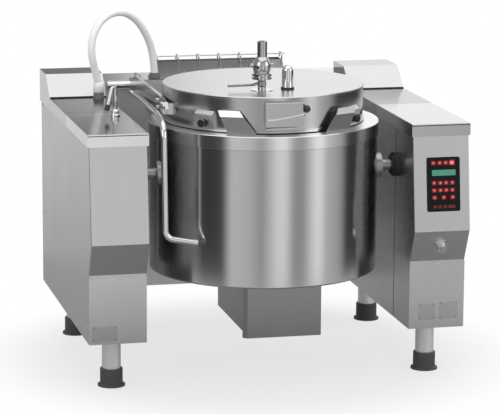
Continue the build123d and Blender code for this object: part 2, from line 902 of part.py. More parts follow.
def lid_handle():
    """Bent tube along the arm, down past the front left of the kettle, hooked inward at its end."""
    x = arm_out_x - handle_radius
    drop_x, drop_y = -collar_radius - handle_side, kettle_y - handle_ahead
    shoulder_z = hinge_z - handle_side
    route = [
        (x, hinge_y - 74.5, shoulder_z - 10),
        (x, hinge_y - 244.5, shoulder_z - 4),
        (drop_x + 4, kettle_y - 151.5, shoulder_z + 14),
        (drop_x - 3, drop_y, shoulder_z),
        (drop_x + 3, drop_y, shoulder_z - handle_length),
        (drop_x + handle_grip, drop_y, shoulder_z - handle_length - 21),
    ]
    return bent_bar(route, [200, 300, 55, 34], handle_radius)


save("lid_shell", lid_shell())
save("lid_liner", lid_liner())
save("lid_gasket", ring(lid_radius - 1 - gasket_width, lid_radius - 1, gasket_z, flange_z, 0, lid_y))
save("lid_arm", lid_arm())
save("hinge_tube", hinge_tube())
save("hinge_bracket", hinge_bracket())
save("hinge_pin", hinge_pin())
save("lid_handle", lid_handle())


# Fittings on the lid: safety valve, vent lever, domed breather, front latch and two clamps.

def safety_valve():
    """Round valve body over two bolted flanges, with side plugs and an open outlet pipe."""
    z = lid_top_z + hub_height
    belly_z = z + 2 * valve_flange + 3
    neck_z = z + valve_height - valve_pipe
    side = [
        (0, z),
        (hub_radius + 8, z),
        (valve_flange_radius, z),
        (valve_flange_radius, z + valve_flange),
        (valve_flange_radius - 8, z + valve_flange),
        (valve_flange_radius - 8, z + valve_flange + 3),
        (valve_flange_radius, z + valve_flange + 3),
        (valve_flange_radius, z + 2 * valve_flange + 3),
        (valve_flange_radius - 10, belly_z),
    ]
    belly = ThreePointArc(side[-1], (valve_belly, (belly_z + neck_z) / 2 - 4), (valve_pipe_radius, neck_z))
    top = Polyline((valve_pipe_radius, neck_z), (valve_pipe_radius, z + valve_height), (0, z + valve_height), (0, z))
    body = Pos(valve_x, valve_y, 0) * revolve(Plane.XZ * make_face([Polyline(*side), belly, top]), Axis.Z)
    plug_z = (belly_z + neck_z) / 2
    body += cross_rod(valve_x - valve_belly - 8, valve_x + valve_belly + 8, valve_y, plug_z, 6)
    return body - disc(valve_bore, neck_z - 10, z + valve_height + 1, valve_x, valve_y)


def valve_bolts():
    low = lid_top_z + hub_height + 2 * valve_flange + 3
    reach = valve_flange_radius - 3.4
    heads = []
    for i in range(4):
        angle = math.radians(45 + 90 * i)
        heads.append(disc(2.9, low, low + 4.5, valve_x + reach * math.cos(angle), valve_y + reach * math.sin(angle)))
    return heads


def vent_hub():
    """Waisted post on a thin plate; it carries the vent lever and the valve."""
    low = lid_top_z
    high = low + hub_height
    profile = [
        (0, low),
        (hub_height, low),
        (hub_height, low + 2),
        (hub_radius, low + 2),
        (hub_radius, low + 12),
        (hub_waist, low + 15),
        (hub_waist, high - 7),
        (hub_radius, high - 4),
        (hub_radius, high),
        (0, high),
    ]
    return turned(profile, valve_x, valve_y)


def vent_lever():
    """Collar on the hub with a long bent rod; it turns to open the vent."""
    low = lid_top_z + 15 + rest_gap
    high = lid_top_z + hub_height - 7 - rest_gap
    collar = ring(hub_waist + running, hub_radius + 1, low, high, valve_x, valve_y)
    z = (low + high) / 2
    route = [
        (valve_x - hub_waist - 2, valve_y, z),
        (valve_x - vent_reach / 4, valve_y - 4, z - 4),
        (valve_x - vent_reach, valve_y - 8, z - 5),
    ]
    return collar + bent_bar(route, 30, vent_rod)


def domed_post():
    dome_z = lid_top_z + post_height - post_radius
    stem = disc(post_radius, lid_top_z + post_ring_height, dome_z, post_x, post_y)
    return stem + Pos(post_x, post_y, dome_z) * Sphere(post_radius)


latch_top_z = lid_top_z - latch_down
latch_low_z = latch_top_z - latch_height
latch_y = lid_front_y - latch_reach
latch_shaft_y = latch_y + latch_reach / 2
latch_shaft_z = latch_top_z - latch_shaft_down


def latch_bracket():
    """Sheet hood on the front of the lid: top, front and two cheeks, cut on a slope below."""
    inside_x = (latch_left + latch_sheet, latch_right - latch_sheet)
    hood = block((latch_left, latch_right), (latch_y, lid_front_y + 30), (latch_low_z, latch_top_z))
    hood = fillet(hood.edges().filter_by(Axis.X).group_by(Axis.Y)[0].group_by(Axis.Z)[-1], bend)
    hood -= block(inside_x, (latch_y + latch_sheet, lid_front_y + 40), (latch_low_z - 1, latch_top_z - latch_sheet))
    slope = [(latch_left - 1, latch_low_z - 1), (latch_right + 1, latch_low_z - 1), (latch_right + 1, latch_low_z + latch_slope)]
    hood -= front_prism(slope, latch_y - 1, lid_front_y + 41)
    hood -= disc(lid_radius, skirt_z - 1, lid_top_z, 0, lid_y)
    return hood - cross_rod(latch_left - 1, latch_right + 1, latch_shaft_y, latch_shaft_z, latch_shaft_radius + running)


def latch_hook():
    """Plate between the cheeks with a half round nose that sits over the rim."""
    x0, x1 = latch_left + latch_sheet, latch_right - latch_sheet
    nose_z = latch_low_z - latch_hook_drop
    plate = block((x0, x1), (latch_shaft_y - 2, latch_shaft_y + 2), (nose_z, latch_low_z + 26))
    return plate + cross_rod(x0, x1, latch_shaft_y, nose_z, latch_nose)


def latch_knob():
    """Spring plunger through both cheeks, with a ball to pull it by."""
    pin = cross_rod(latch_left + 1, latch_right + 12, latch_shaft_y, latch_shaft_z, latch_shaft_radius)
    return pin + Pos(latch_right + latch_ball + 1.5, latch_shaft_y, latch_shaft_z) * Sphere(latch_ball)


def clamp_plane(angle):
    """Plane on the lid's skirt at an angle about the lid, facing outward."""
    a = math.radians(angle)
    origin = (lid_radius * math.cos(a), lid_y + lid_radius * math.sin(a), skirt_z)
    return Plane(origin=origin, x_dir=(-math.sin(a), math.cos(a), 0), z_dir=(math.cos(a), math.sin(a), 0))


def clamp_block(angle):
    """Lug on the skirt, wider at its foot, with a sloping top."""
    plane = clamp_plane(angle)
    foot_half, head_half = clamp_foot / 2, clamp_head / 2
    outline = Polyline((-foot_half, 0), (foot_half, 0), (head_half, clamp_height), (-head_half, clamp_height), close=True)
    lug = extrude(plane.offset(-clamp_depth) * make_face(outline), 2 * clamp_depth)
    outer = [edge for edge in lug.edges() if abs(plane.to_local_coords(edge.center()).Z - clamp_depth) < 0.1]
    top = max(outer, key=lambda edge: edge.center().Z)
    lug = chamfer(top, clamp_slope) - disc(lid_radius, rim_z, lid_top_z, 0, lid_y)
    return lug - extrude(plane.offset(-clamp_depth) * Pos(0, clamp_screw_up) * Circle(clamp_screw + running), 3 * clamp_depth)


def clamp_knob(angle):
    """Turn knob with a screw through the lug."""
    plane = clamp_plane(angle)
    face = clamp_depth + rest_gap
    knob = extrude(plane.offset(face) * Pos(0, clamp_screw_up) * Circle(clamp_nut - 5), 4)
    knob += extrude(plane.offset(face + 4) * Pos(0, clamp_screw_up) * RegularPolygon(clamp_nut, 8), clamp_depth)
    return knob + extrude(plane.offset(4) * Pos(0, clamp_screw_up) * Circle(clamp_screw), face - 3)


right_clamp_angle = 540 - clamp_angle
save("safety_valve", safety_valve())
save("lid_bolts", *arm_bolts(), *valve_bolts())
save("vent_hub", vent_hub())
save("vent_lever", vent_lever())
save("domed_post", domed_post())
save("post_ring", ring(post_radius / 2, post_radius + 3.5, lid_top_z, lid_top_z + post_ring_height, post_x, post_y))
save("latch_bracket", latch_bracket())
save("latch_hook", latch_hook())
save("latch_knob", latch_knob())
save("lid_clamps", clamp_block(clamp_angle), clamp_block(right_clamp_angle))
save("left_clamp_knob", clamp_knob(clamp_angle))
save("right_clamp_knob", clamp_knob(right_clamp_angle))


# Water valve and hose on the left column.

tap_x, tap_y = -inner_x - tap_from_inner, lip_y + tap_behind_front
tap_top_z = worktop_z + tap_height + rest_gap
tap_shoulder = (tap_x - 15, tap_y - 17, tap_top_z + tap_rod + 1.5)
tap_tip = (tap_x - 34, tap_y - 40, worktop_z + 36)


def valve_stem():
    """Upright stem on a round foot."""
    top = worktop_z + tap_height
    profile = [
        (0, worktop_z),
        (17, worktop_z),
        (17, worktop_z + 5),
        (14, worktop_z + 8),
        (14, worktop_z + 18),
        (tap_stem, worktop_z + 24),
        (tap_stem, top),
        (0, top),
    ]
    return turned(profile, tap_x, tap_y)


def tap_lever():
    """Cap on the stem with a rod that bends over and slants down to its tip."""
    cap = disc(tap_stem + 1.5, tap_top_z, tap_top_z + 2 * tap_rod + 3, tap_x, tap_y)
    return cap + bent_bar([(tap_x, tap_y, tap_shoulder[2]), tap_shoulder, tap_tip], 9, tap_rod)


def tap_knob():
    """Sleeve over the end of the rod."""
    along = (Vector(*tap_tip) - Vector(*tap_shoulder)).normalized()
    sleeve = extrude(Plane(origin=tap_tip, z_dir=along) * Circle(tap_tip_radius), tap_tip_length / 2, both=True)
    return fillet(sleeve.edges(), 2) - tap_lever()


def gland(x, y, low, height, flange_radius):
    """Hose socket on a round flange, with a shoulder at its mouth."""
    body = disc(flange_radius, low, low + gland_flange, x, y)
    body += disc(hose_radius + 5, low + gland_flange, low + height - 4, x, y)
    return body + disc(hose_radius + 3, low + height - 4, low + height, x, y)


left_gland = (-inner_x - left_gland_from_inner, lip_y + left_gland_behind_front)
right_gland = (right_gland_x, rear_y - right_gland_from_back)
hose_route = [
    (*left_gland, worktop_z + left_gland_height),
    (-503, 312.5, 1000),
    (-520, 302, 1057),
    (-518, 303, 1120),
    (-490, 321, 1173),
    (-442, 351, 1203),
    (-388, 386, 1204),
    (-341, 416, 1178),
    (-304, 440, 1134),
    (-276, 458, 1081),
    (-261, 467, 1023),
    (*right_gland, deck_z + right_gland_height),
]
hose_bends = route_radii(hose_route)
print("hose radii", [round(bend_radius) for bend_radius in hose_bends])
save("water_valve", valve_stem())
save("tap_lever", tap_lever())
save("tap_knob", tap_knob())
save(
    "hose_glands",
    gland(*left_gland, worktop_z, left_gland_height, hose_radius + gland_flange),
    gland(*right_gland, deck_z, right_gland_height, hose_radius + gland_flange + 2),
)
save("hose", bent_bar(hose_route, hose_bends, hose_radius))


# Controls on the right column.

def face_plane(x, z, low, high):
    """Plane on the column's front at a height, between two corners of its outline."""
    share = (z - low[1]) / (high[1] - low[1])
    y = low[0] + share * (high[0] - low[0])
    run = Vector(0, high[0] - low[0], high[1] - low[1]).normalized()
    return Plane(origin=(x, y, z), x_dir=(1, 0, 0), z_dir=Vector(1, 0, 0).cross(run))


def control_panel():
    """Keypad plate with rounded corners, and the display window on it."""
    face = face_plane(column_x + panel_offset, worktop_z - panel_drop, (knee_y, knee_z), (panel_top_y, shell_top_z))
    plate = extrude(face * RectangleRounded(panel_width, panel_height, 7), panel_thickness)
    display = extrude(face.offset(panel_thickness) * Pos(1, display_up) * Rectangle(display_width, display_height), 0.8)
    return plate, display


def control_knob():
    """Ring on the slanting face, and a winged knob on a spindle through it."""
    face = face_plane(column_x + knob_offset, (knee_z + toe_z) / 2, (toe_y, toe_z), (knee_y, knee_z))
    dial = extrude(face * Circle(dial_radius), dial_thickness) - extrude(face * Circle(knob_spindle + running), dial_thickness)
    base = face.offset(dial_thickness + rest_gap)
    grip = extrude(base * Circle(knob_radius), knob_height, taper=4)
    grip += extrude(base * Rectangle(0.4 * knob_radius, 1.7 * knob_radius), knob_height + 4)
    return dial, grip + extrude(face.offset(0.5) * Circle(knob_spindle), dial_thickness + rest_gap)


def control_box():
    """Housing of the electronics, fixed to the column's outer wall behind the keypad."""
    near = panel_top_y + control_box_behind
    return block((column_x - dial_radius, shell_out_x - sheet), (near, near + control_box_depth), (knee_z + 110, cover_bottom_z - 30))


plate, display = control_panel()
dial, grip = control_knob()
save("control_panel", plate)
save("display_window", display)
save("dial_ring", dial)
save("control_knob", grip)
save("control_box", control_box())
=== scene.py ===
# Tilting steam jacketed kettle: finishes, hose, small fittings, studio light and camera round the construction.
import math

import bmesh
import bpy
from mathutils import Matrix, Vector


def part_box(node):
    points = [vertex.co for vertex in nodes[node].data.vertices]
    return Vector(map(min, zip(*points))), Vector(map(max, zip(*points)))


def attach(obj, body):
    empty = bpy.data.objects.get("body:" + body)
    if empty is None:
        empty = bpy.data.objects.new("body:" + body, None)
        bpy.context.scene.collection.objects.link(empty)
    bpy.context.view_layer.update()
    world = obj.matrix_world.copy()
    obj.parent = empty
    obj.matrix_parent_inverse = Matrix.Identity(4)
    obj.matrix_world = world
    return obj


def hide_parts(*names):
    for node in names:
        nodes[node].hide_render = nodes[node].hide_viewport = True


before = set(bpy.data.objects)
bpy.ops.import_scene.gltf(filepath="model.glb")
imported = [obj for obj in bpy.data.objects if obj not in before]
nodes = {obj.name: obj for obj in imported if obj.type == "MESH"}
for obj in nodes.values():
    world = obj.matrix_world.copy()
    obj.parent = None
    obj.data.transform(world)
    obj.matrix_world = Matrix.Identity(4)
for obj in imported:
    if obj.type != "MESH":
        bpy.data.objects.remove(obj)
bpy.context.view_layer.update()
print("construction loaded:", len(nodes), "nodes")


# camera

viewpoint = {
    "place": (-2.08285, -8.8438, 2.35117),
    "turn": 13.24,      # degrees from +Y towards +X
    "dip": 11.26,       # degrees below the horizon
    "roll": 0.35,
    "lens": 187.11,
    "sensor": 36.0,
}


def makeCamera():
    turn, dip, roll = (math.radians(viewpoint[key]) for key in ("turn", "dip", "roll"))
    ahead = Vector((math.sin(turn) * math.cos(dip), math.cos(turn) * math.cos(dip), -math.sin(dip)))
    right = Vector((math.cos(turn), -math.sin(turn), 0))
    up = right.cross(ahead)
    rolledRight = right * math.cos(roll) + up * math.sin(roll)
    rolledUp = up * math.cos(roll) - right * math.sin(roll)
    data = bpy.data.cameras.new("camera")
    data.lens = viewpoint["lens"]
    data.sensor_width = viewpoint["sensor"]
    data.clip_end = 100
    camera = bpy.data.objects.new("camera", data)
    turned = Matrix((rolledRight, rolledUp, -ahead)).transposed().to_4x4()
    camera.matrix_world = Matrix.Translation(viewpoint["place"]) @ turned
    bpy.context.scene.collection.objects.link(camera)
    bpy.context.scene.camera = camera


makeCamera()
print("camera placed")


# shader kit

class Link:
    # one socket of a node tree, so that shader sums read as Python
    def __init__(self, tree, socket):
        self.tree, self.socket = tree, socket

    def maths(self, operation, *others):
        return add(self.tree, "Math", {"operation": operation}, dict(enumerate((self, *others))))

    def __add__(self, other): return self.maths("ADD", other)
    def __sub__(self, other): return self.maths("SUBTRACT", other)
    def __mul__(self, other): return self.maths("MULTIPLY", other)
    def __truediv__(self, other): return self.maths("DIVIDE", other)
    def __radd__(self, other): return self.maths("ADD", other)
    def __rmul__(self, other): return self.maths("MULTIPLY", other)
    def __rsub__(self, other): return add(self.tree, "Math", {"operation": "SUBTRACT"}, {0: other, 1: self})


def add(tree, kind, settings=None, sockets=None, out=0):
    node = tree.nodes.new("ShaderNode" + kind)
    for name, value in (settings or {}).items():
        if name == "stops":
            ramp = node.color_ramp
            while len(ramp.elements) > 1:
                ramp.elements.remove(ramp.elements[-1])
            for i, (place, tone) in enumerate(value):
                stop = ramp.elements[0] if i == 0 else ramp.elements.new(place)
                stop.position = place
                stop.color = tone if len(tone) == 4 else (*tone, 1)
        else:
            setattr(node, name, value)
    for name, value in (sockets or {}).items():
        if isinstance(value, Link):
            tree.links.new(value.socket, node.inputs[name])
        else:
            node.inputs[name].default_value = value
    return Link(tree, node.outputs[out])


def blendColours(tree, share, first, second):
    settings = {"data_type": "RGBA", "clamp_factor": True}
    four = [tone if isinstance(tone, Link) else (*tone, 1) for tone in (first, second)]
    return add(tree, "Mix", settings, {0: share, 6: four[0], 7: four[1]}, out=2)


def newFinish(name):
    material = bpy.data.materials.new(name)
    material.use_nodes = True
    material.node_tree.nodes.clear()
    return material, material.node_tree


def closeFinish(tree, surface):
    output = tree.nodes.new("ShaderNodeOutputMaterial")
    tree.links.new(surface.socket, output.inputs["Surface"])


def closeBody(tree, sockets):
    closeFinish(tree, add(tree, "BsdfPrincipled", {}, sockets))


def objectPoint(tree, stretch=(1, 1, 1)):
    point = add(tree, "TexCoord", out=3)
    return add(tree, "Mapping", {"vector_type": "POINT"}, {"Vector": point, "Scale": stretch})


def noise(tree, point, scale, detail=2.0, roughness=0.5):
    sockets = {"Vector": point, "Scale": scale, "Detail": detail, "Roughness": roughness}
    return add(tree, "TexNoise", {}, sockets)


def mapped(tree, value, span, kind="SMOOTHSTEP"):
    # span is where the value starts and ends, then what it becomes there
    start, end, first, last = span
    return add(tree, "MapRange", {"interpolation_type": kind}, {0: value, 1: start, 2: end, 3: first, 4: last})


def upward(tree):
    # 1 on faces that look straight up, 0 on upright ones
    return add(tree, "SeparateXYZ", {}, {0: add(tree, "TexCoord", out=1)}, out=2)


def rayKinds(tree):
    ray = add(tree, "LightPath").socket.node
    return [Link(tree, ray.outputs[f"Is {kind} Ray"]) for kind in ("Camera", "Glossy", "Transmission")]


def scaled(tone, factor):
    return [min(1, part * factor) for part in tone]


# finishes

steelTone = {
    "panel": (0.60, 0.60, 0.605),
    "top": (0.70, 0.70, 0.705),
    # painted shade: a darker tone for the upward faces of the front covers and rear deck
    "topPaintedShade": (0.46, 0.46, 0.465),
    "rear": (0.54, 0.54, 0.545),
    # painted shade: a darker tone for the upward faces of the rear covers and rear boxes
    "rearPaintedShade": (0.28, 0.28, 0.285),
    "plate": (0.52, 0.52, 0.525),
    # painted light: a lighter tone for the upward faces of the lid clamps
    "clampPaintedLight": (0.88, 0.88, 0.885),
    "valve": (0.50, 0.50, 0.505),
    "shaft": (0.34, 0.34, 0.345),
    "kettle": (0.56, 0.56, 0.57),
    "band": (0.66, 0.66, 0.665),
    "lid": (0.56, 0.56, 0.565),
    "bright": (0.74, 0.74, 0.745),
    "tube": (0.92, 0.92, 0.925),
    "rim": (0.84, 0.84, 0.845),
    "fascia": (0.93, 0.93, 0.935),
    # painted shade and light: a dark tone for the upright sides of the spout guides and a light one for their
    # upward folds
    "guide": (0.26, 0.26, 0.265),
    "guidePaintedLight": (0.74, 0.74, 0.745),
    "box": (0.34, 0.345, 0.35),
}


# how large and strong the unevenness of each finish is; scales are cells a metre
steelWear = {"cloud": 3.0, "smudge": 17.0, "cloudTint": 0.93, "cloudStart": 0.35, "cloudShare": 0.5,
             "relief": 0.7, "depth": 0.0004, "paintedUpLines": 0.98}
turnedWear = {"rings": 900, "heights": 700, "cloud": 4.0, "relief": 0.04, "depth": 0.0003,
              "lineGloss": 0.06, "cloudGloss": 0.05, "sideGloss": 0.06}
polishWear = {"cloud": 11.0, "fine": 160.0, "tint": 0.97, "cloudGloss": 0.05, "fineGloss": 0.03}
mouldWear = {"cloud": 14.0, "tint": 0.88, "depth": 0.0003, "cloudGloss": 0.12, "grainGloss": 0.06}
paintWear = {"peel": 320.0, "cloud": 9.0, "dark": 0.86, "light": 1.1, "relief": 0.10, "depth": 0.0004,
             "gloss": 0.15}
woolWear = {"fibres": (60, 60, 420), "tufts": 28.0, "tint": 0.7, "relief": 0.6, "depth": 0.003}


def brushedSteel(name, tone, rough, grain, streaks=0.05, wear=0.04, uneven=0.06, paintedUpTone=None,
                 cut=(0.82, 0.92)):
    # grain is how many streaks a metre holds along each axis: few along the brushing, many across it
    # the up-facing tone is a painted tone of light and shade, given to faces that look up more than the cut:
    # lighter than the sides on some finishes, darker on others
    material, tree = newFinish(name)
    lines = noise(tree, objectPoint(tree, grain), 1.0, 3.0, 0.6)
    cloud = noise(tree, objectPoint(tree), steelWear["cloud"], 3.0, 0.55)
    smudge = noise(tree, objectPoint(tree), steelWear["smudge"], 2.0, 0.6)
    shade = blendColours(tree, lines, scaled(tone, 1 - streaks), scaled(tone, 1 + streaks))
    clouded = (cloud - steelWear["cloudStart"]) * steelWear["cloudShare"]
    wearAndPaintedLight = blendColours(tree, clouded, shade, scaled(tone, steelWear["cloudTint"]))
    # painted light and shade: faces that look up take the up-facing tone in place of the side tone, with the
    # streaks kept
    if paintedUpTone:
        paintedUpMask = mapped(tree, upward(tree), (*cut, 0.0, 1.0), "LINEAR")
        paintedUpShade = blendColours(tree, lines, scaled(paintedUpTone, steelWear["paintedUpLines"]), paintedUpTone)
        wearAndPaintedLight = blendColours(tree, paintedUpMask, wearAndPaintedLight, paintedUpShade)
    gloss = rough + (lines - 0.5) * uneven + (cloud - 0.5) * wear * 2 + (smudge - 0.5) * wear
    relief = {"Strength": uneven * steelWear["relief"], "Distance": steelWear["depth"], "Height": lines}
    closeBody(tree, {
        "Base Color": wearAndPaintedLight, "Metallic": 1.0, "Roughness": gloss, "Normal": add(tree, "Bump", {}, relief),
    })
    return material


def turnedSteel(name, tone, rough, centre, streaks=0.05, side=1.0):
    # brushed in circles round an upright axis through centre; side is a painted shade that darkens what stands
    # upright
    material, tree = newFinish(name)
    point = add(tree, "TexCoord", out=3)
    moved = add(tree, "VectorMath", {"operation": "SUBTRACT"}, {0: point, 1: centre})
    level = add(tree, "VectorMath", {"operation": "MULTIPLY"}, {0: moved, 1: (1, 1, 0)})
    reach = add(tree, "VectorMath", {"operation": "LENGTH"}, {0: level}, out=1)
    height = add(tree, "SeparateXYZ", {}, {0: point}, out=2)
    across, along = reach * turnedWear["rings"], height * turnedWear["heights"]
    lines = noise(tree, add(tree, "CombineXYZ", {}, {"X": across, "Y": 0.0, "Z": along}), 1.0, 3.0, 0.6)
    cloud = noise(tree, objectPoint(tree), turnedWear["cloud"], 3.0, 0.55)
    upright = 1 - upward(tree).maths("ABSOLUTE")
    shade = blendColours(tree, lines, scaled(tone, 1 - streaks), scaled(tone, 1 + streaks))
    # painted shade: upright faces take the darker side tone
    paintedSideShade = blendColours(tree, upright, shade, scaled(tone, side))
    relief = {"Strength": turnedWear["relief"], "Distance": turnedWear["depth"], "Height": lines}
    uneven = (lines - 0.5) * turnedWear["lineGloss"] + (cloud - 0.5) * turnedWear["cloudGloss"]
    gloss = rough + uneven - upright * turnedWear["sideGloss"]
    closeBody(tree, {
        "Base Color": paintedSideShade, "Metallic": 1.0, "Roughness": gloss, "Normal": add(tree, "Bump", {}, relief),
    })
    return material


def polishedSteel(name, tone, rough):
    material, tree = newFinish(name)
    cloud = noise(tree, objectPoint(tree), polishWear["cloud"], 3.0, 0.55)
    fine = noise(tree, objectPoint(tree), polishWear["fine"])
    shade = blendColours(tree, cloud, scaled(tone, polishWear["tint"]), tone)
    gloss = rough + (cloud - 0.5) * polishWear["cloudGloss"] + (fine - 0.5) * polishWear["fineGloss"]
    closeBody(tree, {"Base Color": shade, "Metallic": 1.0, "Roughness": gloss})
    return material


def moulded(name, tone, rough, grainScale=240.0, relief=0.12, coat=0.0, edge=1.25, specular=0.5):
    # plastic or rubber with a fine moulded grain
    material, tree = newFinish(name)
    grain = noise(tree, objectPoint(tree), grainScale)
    cloud = noise(tree, objectPoint(tree), mouldWear["cloud"], 3.0, 0.6)
    shade = blendColours(tree, cloud, scaled(tone, mouldWear["tint"]), scaled(tone, edge))
    bump = add(tree, "Bump", {}, {"Strength": relief, "Distance": mouldWear["depth"], "Height": grain})
    gloss = rough + (cloud - 0.5) * mouldWear["cloudGloss"] + (grain - 0.5) * mouldWear["grainGloss"]
    closeBody(tree, {
        "Base Color": shade, "Metallic": 0.0, "Roughness": gloss, "Coat Weight": coat, "Normal": bump,
        "Specular IOR Level": specular,
    })
    return material


def painted(name, tone, rough):
    material, tree = newFinish(name)
    peel = noise(tree, objectPoint(tree), paintWear["peel"])
    cloud = noise(tree, objectPoint(tree), paintWear["cloud"], 4.0, 0.6)
    shade = blendColours(tree, cloud, scaled(tone, paintWear["dark"]), scaled(tone, paintWear["light"]))
    relief = {"Strength": paintWear["relief"], "Distance": paintWear["depth"], "Height": peel}
    gloss = rough + (cloud - 0.5) * paintWear["gloss"]
    closeBody(tree, {"Base Color": shade, "Roughness": gloss, "Normal": add(tree, "Bump", {}, relief)})
    return material


def glassWool(name, tone, rough):
    material, tree = newFinish(name)
    fibres = noise(tree, objectPoint(tree, woolWear["fibres"]), 1.0, 5.0, 0.7)
    tufts = noise(tree, objectPoint(tree), woolWear["tufts"], 5.0, 0.65)
    shade = blendColours(tree, tufts, scaled(tone, woolWear["tint"]), tone)
    relief = {"Strength": woolWear["relief"], "Distance": woolWear["depth"], "Height": fibres + tufts}
    closeBody(tree, {"Base Color": shade, "Roughness": rough, "Normal": add(tree, "Bump", {}, relief)})
    return material


def glowing(name, tone, strength, base):
    # a lit film with a fine speck in its light
    material, tree = newFinish(name)
    speck = noise(tree, objectPoint(tree), 900.0, 1.0)
    shade = blendColours(tree, speck, scaled(tone, 0.8), tone)
    closeBody(tree, {
        "Base Color": (*base, 1), "Roughness": 0.35, "Emission Color": shade, "Emission Strength": strength,
    })
    return material


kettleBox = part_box("outer_casing")
kettleCentre = (kettleBox[0] + kettleBox[1]) / 2
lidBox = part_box("lid_shell")
lidCentre = Vector((0, (lidBox[0].y + lidBox[1].y) / 2, 0))

coverPolish = {"streaks": 0.03, "wear": 0.01, "uneven": 0.02}
# maker, tone, roughness or strength of light, and what else the maker is told
plans = {
    "panelSteel": (brushedSteel, steelTone["panel"], 0.28, {"grain": (900, 900, 14)}),
    "topSteel": (brushedSteel, steelTone["top"], 0.14,
                 {"grain": (700, 10, 700), "paintedUpTone": steelTone["topPaintedShade"], **coverPolish}),
    "rearSteel": (brushedSteel, steelTone["rear"], 0.16,
                  {"grain": (700, 10, 700), "paintedUpTone": steelTone["rearPaintedShade"], **coverPolish}),
    "kettleSteel": (brushedSteel, steelTone["kettle"], 0.15,
                    {"grain": (5, 5, 700), "streaks": 0.03, "wear": 0.015}),
    "bandSteel": (brushedSteel, steelTone["band"], 0.17, {"grain": (5, 5, 900), "streaks": 0.03, "wear": 0.02}),
    "guideSteel": (brushedSteel, steelTone["guide"], 0.20,
                   {"grain": (600, 600, 20), "streaks": 0.03, "wear": 0.02, "paintedUpTone": steelTone["guidePaintedLight"],
                    "cut": (0.15, 0.30)}),
    # painted shade: the lid's upright side is darkened to 0.90 of its tone
    "lidSteel": (turnedSteel, steelTone["lid"], 0.27, {"centre": lidCentre, "side": 0.90}),
    "vesselSteel": (turnedSteel, steelTone["rim"], 0.32, {"centre": Vector((0, kettleCentre.y, 0))}),
    "plateSteel": (brushedSteel, steelTone["plate"], 0.24, {"grain": (14, 700, 700)}),
    "clampSteel": (brushedSteel, steelTone["panel"], 0.22,
                   {"grain": (14, 700, 700), "paintedUpTone": steelTone["clampPaintedLight"], "cut": (0.5, 0.8)}),
    "boxSteel": (brushedSteel, steelTone["box"], 0.30, {"grain": (12, 12, 700)}),
    "fasciaSteel": (brushedSteel, steelTone["fascia"], 0.52, {"grain": (14, 14, 700), "streaks": 0.04}),
    "brightSteel": (polishedSteel, steelTone["bright"], 0.11, {}),
    "valveSteel": (polishedSteel, steelTone["valve"], 0.09, {}),
    "shaftSteel": (polishedSteel, steelTone["shaft"], 0.26, {}),
    "satinTube": (brushedSteel, steelTone["tube"], 0.46, {"grain": (40, 40, 500), "streaks": 0.02}),
    "bootPlastic": (moulded, (0.075, 0.078, 0.082), 0.50, {}),
    "blackPlastic": (moulded, (0.012, 0.012, 0.013), 0.30, {"coat": 0.3}),
    "blackRubber": (moulded, (0.018, 0.018, 0.018), 0.60, {}),
    "glandPlastic": (moulded, (0.16, 0.165, 0.17), 0.42, {}),
    "hoseWhite": (moulded, (0.93, 0.93, 0.92), 0.38,
                  {"grainScale": 120.0, "relief": 0.05, "coat": 0.15, "edge": 1.05}),
    "panelFilm": (moulded, (0.006, 0.006, 0.007), 0.42,
                  {"grainScale": 800.0, "relief": 0.04, "specular": 0.15}),
    "displayFilm": (glowing, (0.10, 0.42, 0.30), 0.45, {"base": (0.03, 0.10, 0.08)}),
    "keyFilm": (glowing, (0.42, 0.012, 0.016), 0.45, {"base": (0.10, 0.004, 0.006)}),
    "keyDim": (glowing, (0.16, 0.008, 0.010), 0.45, {"base": (0.05, 0.003, 0.004)}),
    "lampRed": (glowing, (1.0, 0.22, 0.18), 0.95, {"base": (0.4, 0.05, 0.05)}),
    "knobGrey": (polishedSteel, (0.82, 0.82, 0.83), 0.22, {}),
    "wool": (glassWool, (0.74, 0.66, 0.40), 0.95, {}),
    "framePaint": (painted, (0.20, 0.21, 0.22), 0.45, {}),
    "drivePaint": (painted, (0.12, 0.15, 0.18), 0.45, {}),
}
finishes = {name: maker(name, tone, level, **more) for name, (maker, tone, level, more) in plans.items()}

dressing = {
    "panelSteel": ("left_column_shell", "right_column_shell", "service_panels", "rear_back_panel", "flue_box"),
    "topSteel": ("front_covers", "rear_deck"),
    "rearSteel": ("rear_covers", "rear_boxes"),
    "kettleSteel": ("outer_casing",),
    "bandSteel": ("rim_collar",),
    "guideSteel": ("spout_guides",),
    "lidSteel": ("lid_shell", "lid_liner"),
    "vesselSteel": ("inner_vessel", "steam_jacket"),
    "plateSteel": ("lid_arm", "latch_bracket", "latch_hook", "hinge_bracket"),
    "clampSteel": ("lid_clamps",),
    "boxSteel": ("heating_box",),
    "fasciaSteel": ("rear_fascia",),
    "brightSteel": ("flue_guard", "lid_bolts", "hinge_tube", "hinge_pin", "lid_handle", "domed_post",
                    "water_valve", "tap_lever", "dial_ring"),
    "valveSteel": ("safety_valve", "vent_hub"),
    "shaftSteel": ("trunnions", "vent_lever"),
    "satinTube": ("leg_tubes",),
    "bootPlastic": ("front_left_foot", "front_right_foot", "rear_left_foot", "rear_right_foot"),
    "glandPlastic": ("hose_glands",),
    "blackPlastic": ("latch_knob", "left_clamp_knob", "right_clamp_knob", "tap_knob"),
    "blackRubber": ("shaft_seals", "lid_gasket", "post_ring"),
    "hoseWhite": ("hose",),
    "panelFilm": ("control_panel",),
    "displayFilm": ("display_window",),
    "knobGrey": ("control_knob",),
    "wool": ("insulation",),
    "framePaint": ("base_frames", "rear_crossmembers", "control_box", "heating_elements"),
    "drivePaint": ("tilt_drive", "trunnion_bearings"),
}
for finish, names in dressing.items():
    for name in names:
        nodes[name].data.materials.clear()
        nodes[name].data.materials.append(finishes[finish])
undressed = set(nodes) - {name for names in dressing.values() for name in names}
